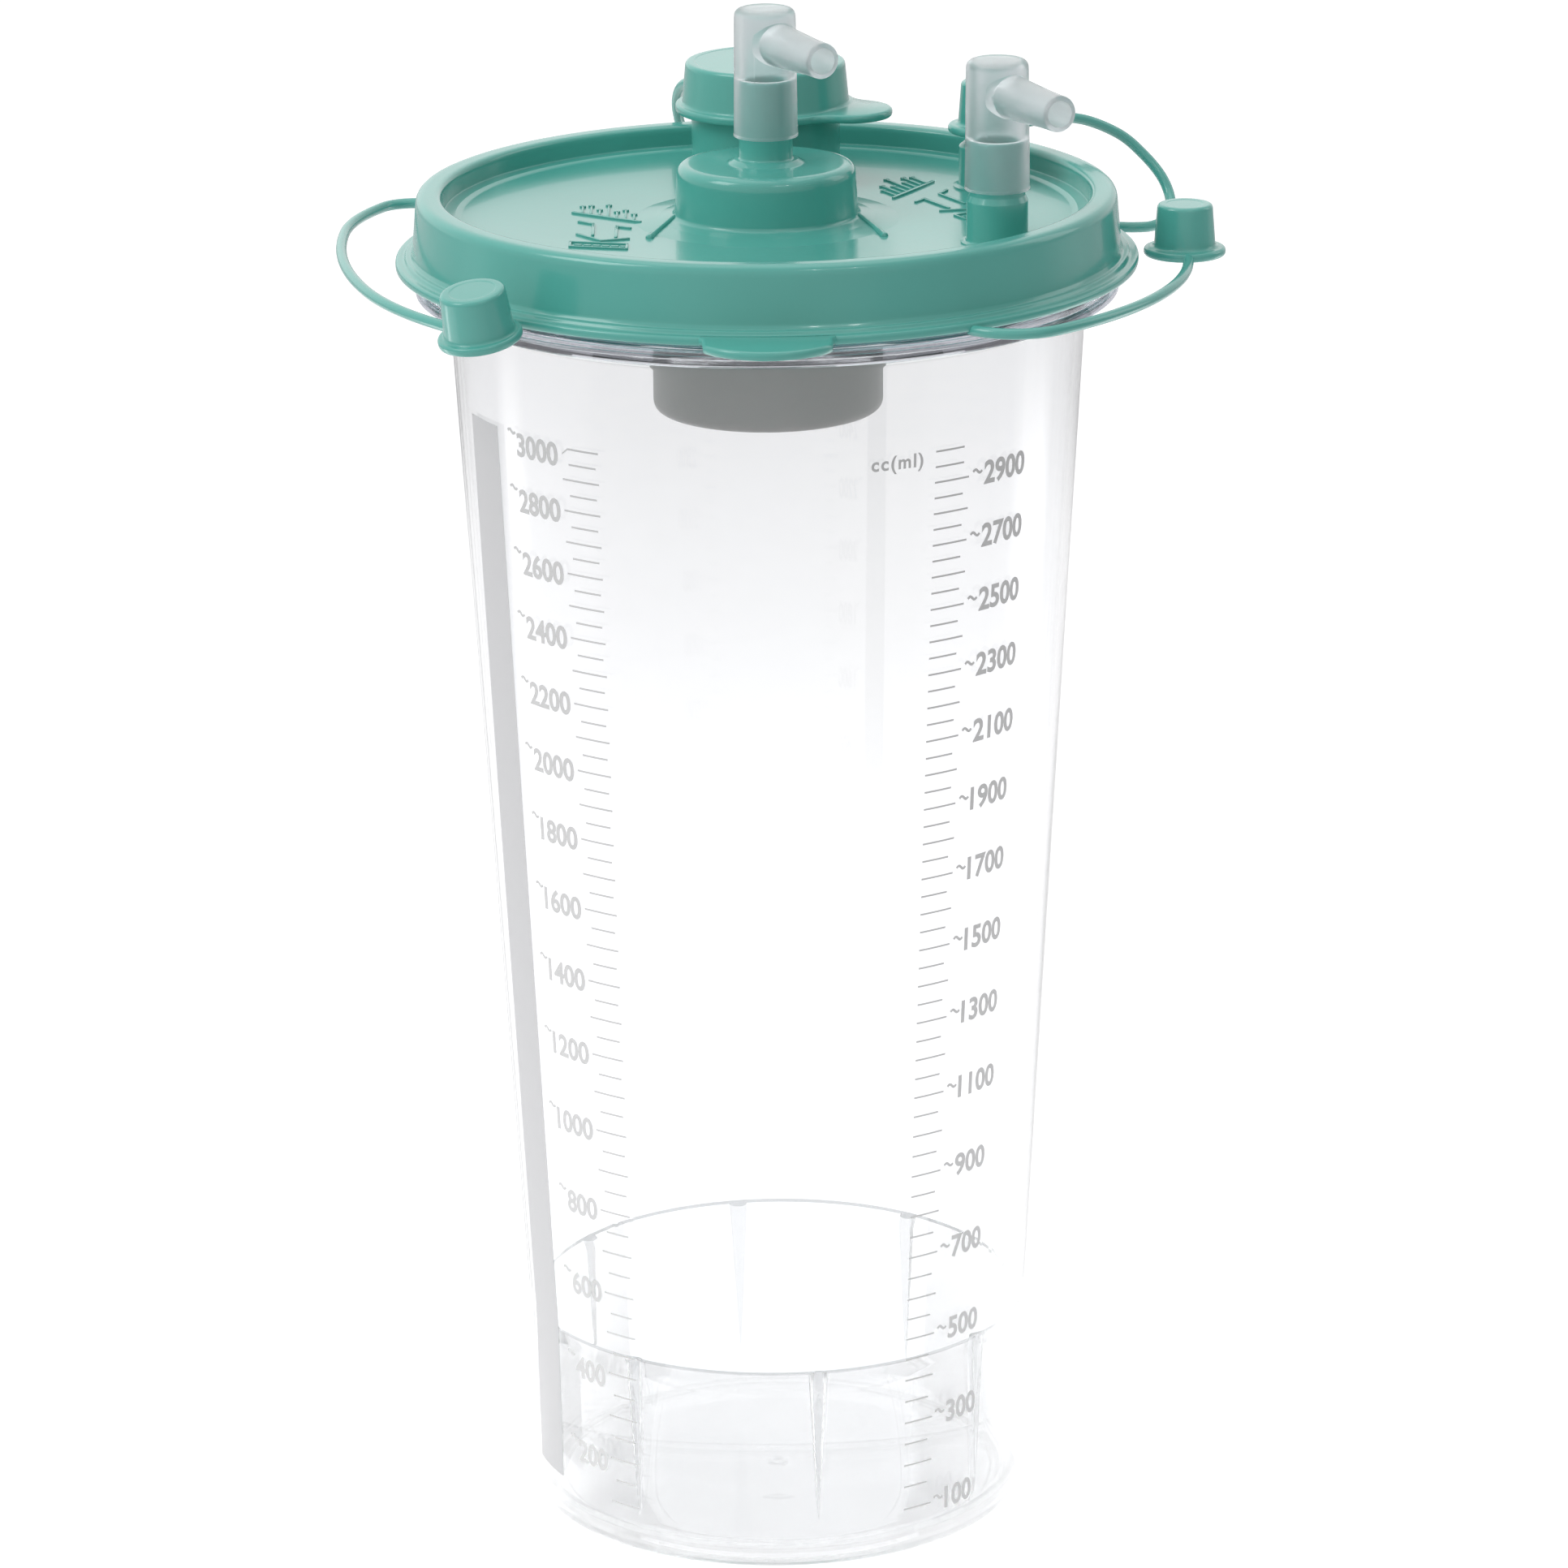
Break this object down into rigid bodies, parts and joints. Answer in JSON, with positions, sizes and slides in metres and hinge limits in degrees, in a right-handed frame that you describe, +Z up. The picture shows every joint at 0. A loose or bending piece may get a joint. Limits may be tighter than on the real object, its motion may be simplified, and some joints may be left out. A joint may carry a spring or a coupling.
{
  "type": "suction canister",
  "caption": "Clear graduated collection canister with a press-down lid that carries a raised vacuum port, swivel tubing elbows, capped ports and tethered caps.",
  "frame": {"origin": "centre of the canister's foot ring, in the plane that it stands on", "axes": "+Z up along the canister's axis; +X towards the patient and tandem ports; -Y towards the finger tab at the front"},
  "size_m": [0.1993, 0.1876, 0.3476],
  "materials": {
    "clear_plastic": "clear, polished",
    "lid_plastic": "glossy moulded teal",
    "elbow_plastic": "milky translucent, satin",
    "housing_plastic": "plain grey",
    "float_plastic": "plain white",
    "seal_rubber": "matt"
  },
  "bodies": {
    "canister": {"canister": "clear_plastic"},
    "lid": {"lid": "lid_plastic", "vacuum_hub": "lid_plastic", "large_port": "lid_plastic", "patient_port": "lid_plastic", "tandem_port": "lid_plastic", "left_loose_cap": "lid_plastic", "left_cap_tether": "lid_plastic", "right_loose_cap": "lid_plastic", "right_cap_tether": "lid_plastic", "large_cap_tether": "lid_plastic", "tandem_cap_tether": "lid_plastic", "shutoff_housing": "housing_plastic", "float_cage": "float_plastic"},
    "vacuum_elbow": {"vacuum_elbow": "elbow_plastic"},
    "patient_elbow": {"patient_elbow": "elbow_plastic"},
    "large_cap": {"large_port_cap": "lid_plastic"},
    "tandem_cap": {"tandem_port_cap": "lid_plastic"},
    "float": {"float_cup": "float_plastic", "float_seal": "seal_rubber"}
  },
  "joints": [
    {"name": "lid_lift", "type": "slide", "parent": "canister", "child": "lid", "axis": [0, 0, 1], "range_m": [0, 0.06]},
    {"name": "vacuum_elbow_swivel", "type": "hinge", "parent": "lid", "child": "vacuum_elbow", "pos_m": [0, 0, 0.325], "axis": [0, 0, 1], "continuous": true},
    {"name": "patient_elbow_swivel", "type": "hinge", "parent": "lid", "child": "patient_elbow", "pos_m": [0.0502, -0.0285, 0.318], "axis": [0, 0, 1], "continuous": true},
    {"name": "large_cap_lift", "type": "slide", "parent": "lid", "child": "large_cap", "axis": [0, 0, 1], "range_m": [0, 0.016], "deforming": ["large_cap_tether"]},
    {"name": "tandem_cap_lift", "type": "slide", "parent": "lid", "child": "tandem_cap", "axis": [0, 0, 1], "range_m": [0, 0.016], "deforming": ["tandem_cap_tether"]},
    {"name": "float_rise", "type": "slide", "parent": "lid", "child": "float", "axis": [0, 0, 1], "range_m": [0, 0.0135]}
  ]
}
